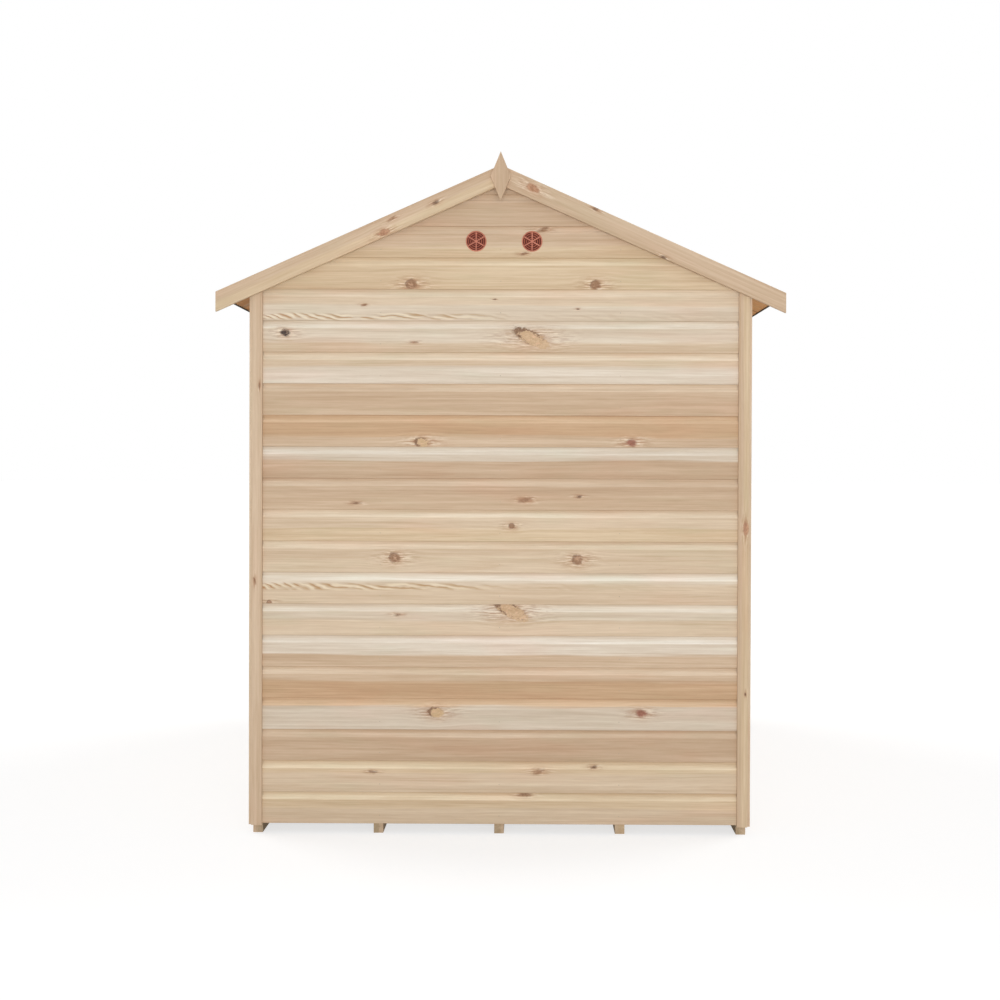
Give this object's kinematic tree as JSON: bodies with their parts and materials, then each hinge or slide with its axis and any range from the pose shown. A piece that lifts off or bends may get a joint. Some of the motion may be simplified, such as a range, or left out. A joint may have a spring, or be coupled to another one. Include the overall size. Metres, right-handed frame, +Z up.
{
  "type": "summer house",
  "caption": "Hollow timber summer house with a gable roof, horizontal shiplap walls, corner battens, bargeboards with diamond finials, round gable vents and bearers under its floor.",
  "frame": {"origin": "on the ground, under the middle of the house: the centre of the bottom of its bounding box", "axes": "+X across the house to the right as seen from the rear gable, +Y from the rear gable with the vents to the front gable with the doors, along the ridge, +Z up"},
  "size_m": [2.068, 2.536, 2.4818],
  "materials": {
    "shiplap_pine": "planed, untreated pine shiplap with fine grain and small knots",
    "planed_trim": "planed, untreated pine",
    "frame_timber": "rough-sawn, untreated pine",
    "bearer_timber": "rough-sawn, untreated pine",
    "floor_pine": "planed, untreated pine boards",
    "roof_pine": "tongued and grooved pine boards",
    "mineral_felt": "dark bitumen felt with mineral grains",
    "vent_plastic": "terracotta-coloured plastic",
    "clear_pane": "clear flat pane",
    "black_ironmongery": "black painted steel"
  },
  "bodies": {
    "root": {"floor_bearer_1": "bearer_timber", "floor_bearer_2": "bearer_timber", "floor_bearer_3": "bearer_timber", "floor_bearer_4": "bearer_timber", "floor_bearer_5": "bearer_timber", "floor_boards": "floor_pine", "rear_studs": "frame_timber", "rear_rails": "frame_timber", "side_studs": "frame_timber", "side_rails": "frame_timber", "front_studs": "frame_timber", "front_rails": "frame_timber", "rear_cladding": "shiplap_pine", "left_cladding": "shiplap_pine", "right_cladding": "shiplap_pine", "front_gable_cladding": "shiplap_pine", "front_left_cladding": "shiplap_pine", "front_right_cladding": "shiplap_pine", "gable_corner_battens": "planed_trim", "side_corner_battens": "planed_trim", "rear_vents": "vent_plastic", "ridge_beam": "frame_timber", "purlins": "frame_timber", "left_roof_boards": "roof_pine", "right_roof_boards": "roof_pine", "left_roof_felt": "mineral_felt", "right_roof_felt": "mineral_felt", "verge_battens": "frame_timber", "rear_left_bargeboard": "planed_trim", "rear_right_bargeboard": "planed_trim", "front_left_bargeboard": "planed_trim", "front_right_bargeboard": "planed_trim", "rear_finial": "planed_trim", "front_finial": "planed_trim", "left_window_frame": "planed_trim", "right_window_frame": "planed_trim", "panes": "clear_pane", "door_sill": "planed_trim", "door_casings": "planed_trim", "left_door_frame": "planed_trim", "right_door_frame": "planed_trim", "door_panels": "shiplap_pine", "door_cover_strip": "planed_trim", "door_hinges": "black_ironmongery", "door_handle": "black_ironmongery"}
  },
  "joints": []
}
